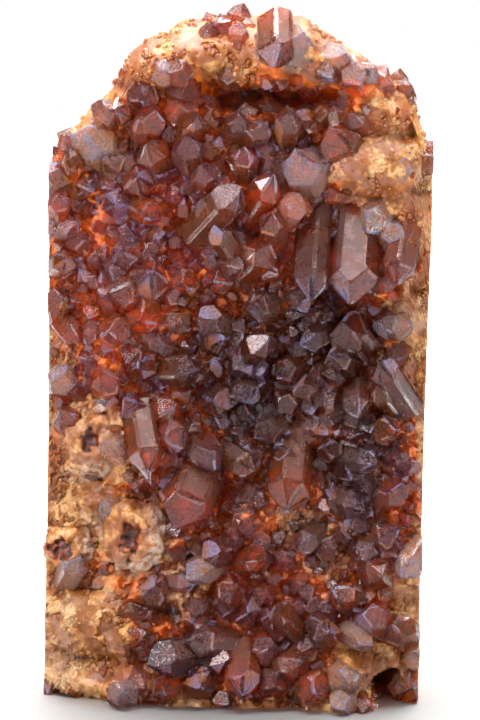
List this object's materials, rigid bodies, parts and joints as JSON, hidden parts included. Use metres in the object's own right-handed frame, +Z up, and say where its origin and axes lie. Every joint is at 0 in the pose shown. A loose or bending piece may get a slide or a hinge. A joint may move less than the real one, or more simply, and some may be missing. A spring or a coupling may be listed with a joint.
{
  "type": "raw citrine quartz cluster",
  "caption": "Upright slab of raw citrine with a druse of quartz points on its front, sawn sides and a flat sawn base to stand on.",
  "frame": {"origin": "centre of the bounding box at the height of the flat sawn base", "axes": "+Z up, along the height; the druse faces -Y; +X is the viewer's right as they face the druse"},
  "size_m": [0.0908, 0.0524, 0.1613],
  "materials": {
    "citrine_quartz": "glassy crystal faces over rough massive quartz"
  },
  "bodies": {
    "root": {"raw_citrine": "citrine_quartz"}
  },
  "joints": []
}
